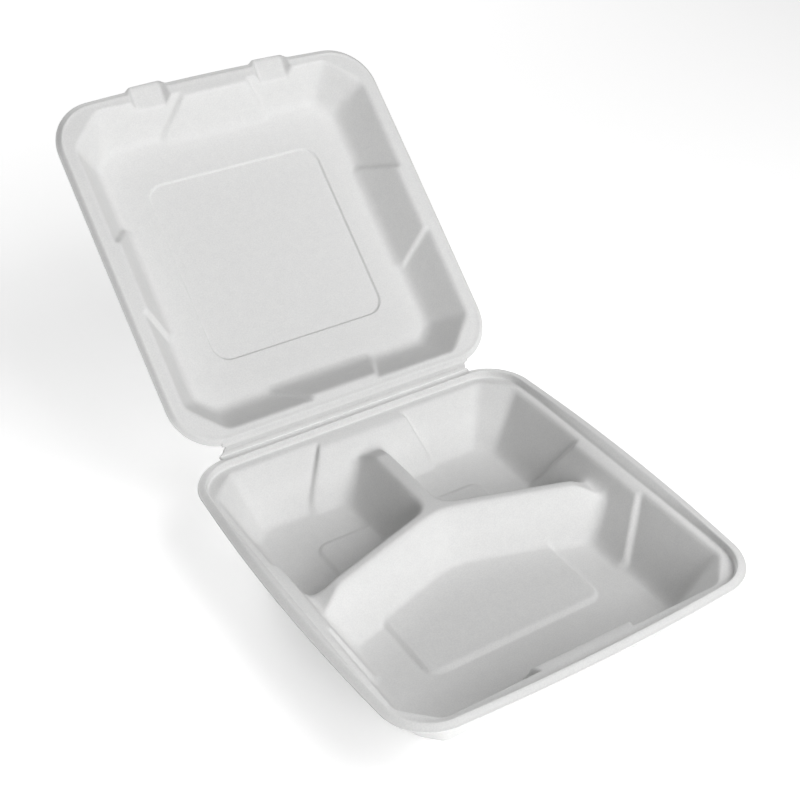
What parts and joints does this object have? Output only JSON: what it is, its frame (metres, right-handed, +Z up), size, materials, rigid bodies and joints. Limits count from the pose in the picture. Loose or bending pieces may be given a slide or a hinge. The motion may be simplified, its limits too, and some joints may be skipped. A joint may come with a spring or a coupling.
{
  "type": "hinged takeout lunch box",
  "caption": "Moulded-fibre clamshell food box: divided compartment tray with chevron divider, shallow panelled lid and a creased hinge strip, shown with the lid open.",
  "frame": {"origin": "on the table, under the middle of the open box's footprint", "axes": "+Z up, +Y from the tray's front edge towards the hinge and the open lid, +X to the right seen from the front"},
  "size_m": [0.232, 0.4101, 0.198],
  "materials": {
    "tray_fibre": "matt moulded fibre",
    "strip_fibre": "matt moulded fibre, creased",
    "lid_fibre": "matt moulded fibre"
  },
  "bodies": {
    "tray": {"tray": "tray_fibre"},
    "hinge_strip": {"hinge_strip": "strip_fibre"},
    "lid": {"lid": "lid_fibre"}
  },
  "joints": [
    {"name": "strip_fold", "type": "hinge", "parent": "tray", "child": "hinge_strip", "pos_m": [0, 0.03499, 0.04177], "axis": [1, 0, 0], "range_deg": [-19.57, 66.31]},
    {"name": "lid_fold", "type": "hinge", "parent": "hinge_strip", "child": "lid", "pos_m": [0, 0.03424, 0.04947], "axis": [1, 0, 0], "range_deg": [-21.44, 72.7]}
  ],
  "couplings": [
    {"joint": "strip_fold", "follows": "lid_fold", "ratio": 0.91205}
  ]
}
